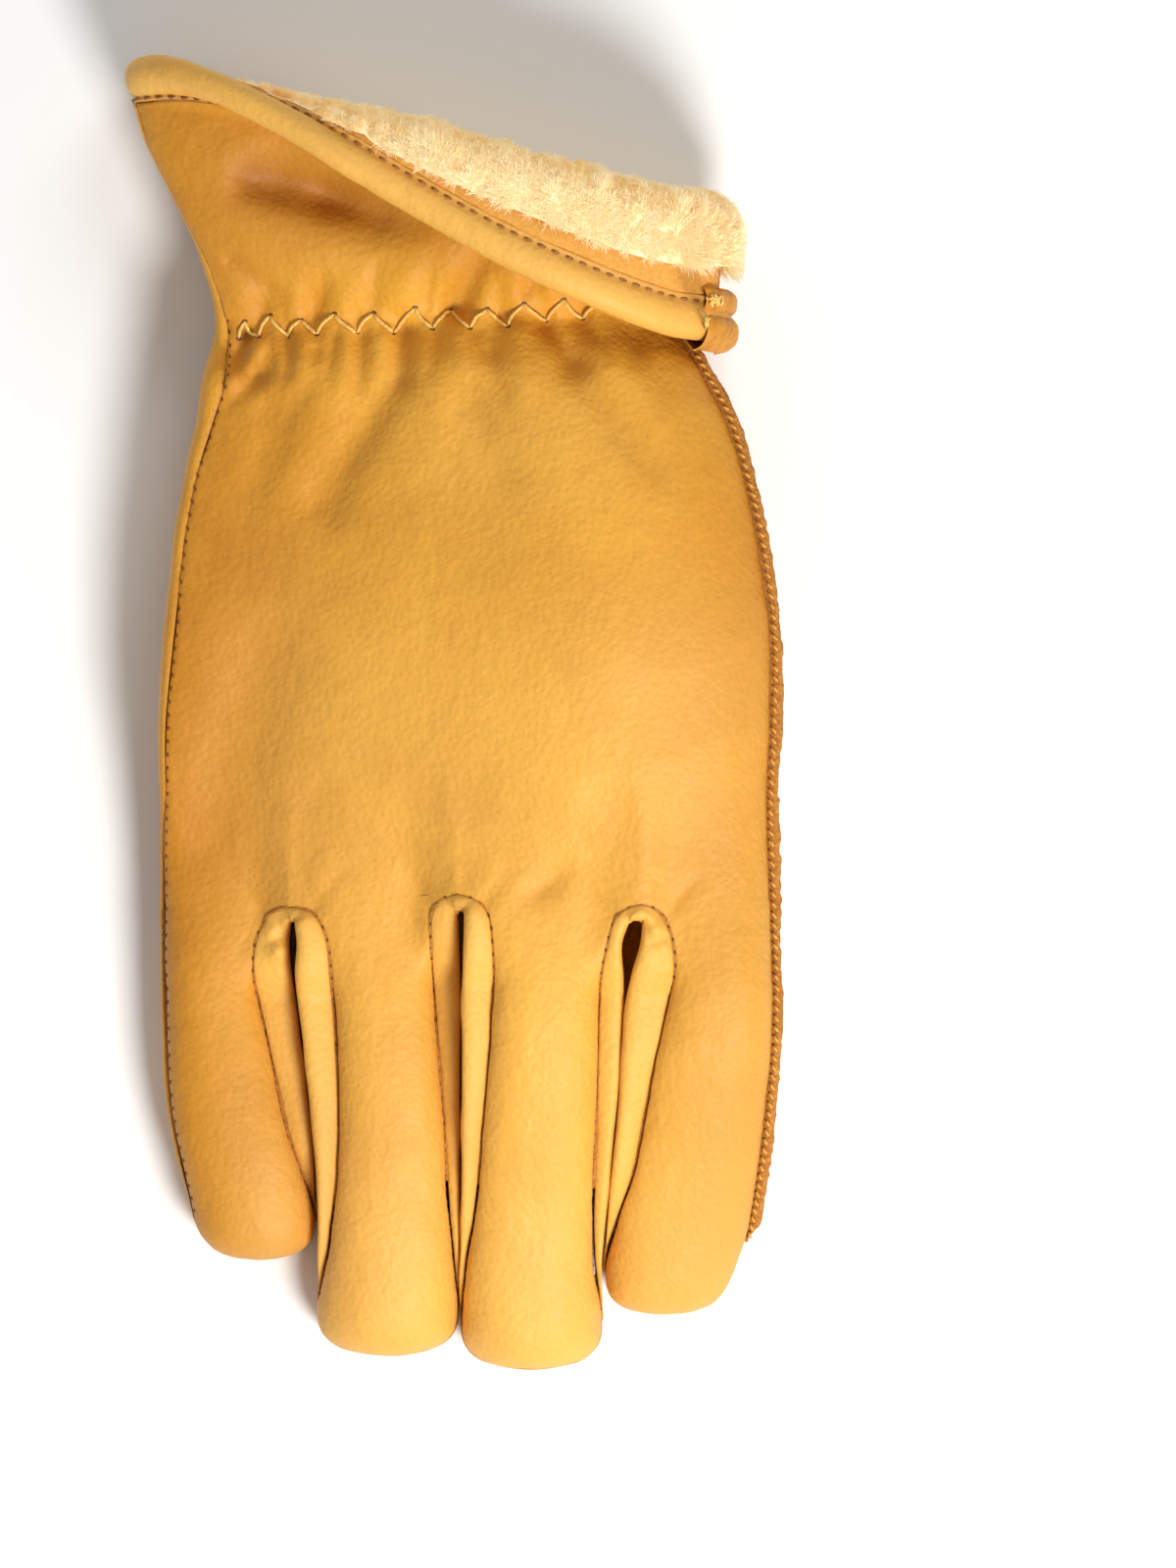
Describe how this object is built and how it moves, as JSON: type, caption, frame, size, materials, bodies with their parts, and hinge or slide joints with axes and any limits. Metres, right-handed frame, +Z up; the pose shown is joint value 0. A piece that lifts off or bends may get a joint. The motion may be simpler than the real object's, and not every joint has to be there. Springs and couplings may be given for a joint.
{
  "type": "pile lined leather glove",
  "caption": "Right-hand leather work glove with a pile lining, gathered wrist and turned-back cuff, lying back up.",
  "frame": {"origin": "centre of the underside of the bounding box, on the surface that the glove lies on", "axes": "+X towards the index-finger side, +Y from the fingertips to the cuff, +Z up out of the back of the hand"},
  "size_m": [0.129, 0.2554, 0.0579],
  "materials": {
    "leather": "satin",
    "pile": "deep pile",
    "raw_edge": "matt"
  },
  "bodies": {
    "root": {"back_panel": "leather", "palm_panel": "leather", "finger_front_ring": "leather", "finger_front_middle": "leather", "fourchette_little_ring": "leather", "fourchette_ring_middle": "leather", "fourchette_middle_index": "leather", "thumb": "leather", "cuff_hem": "leather", "cuff_lining": "pile", "outseam_edge": "raw_edge"}
  },
  "joints": []
}
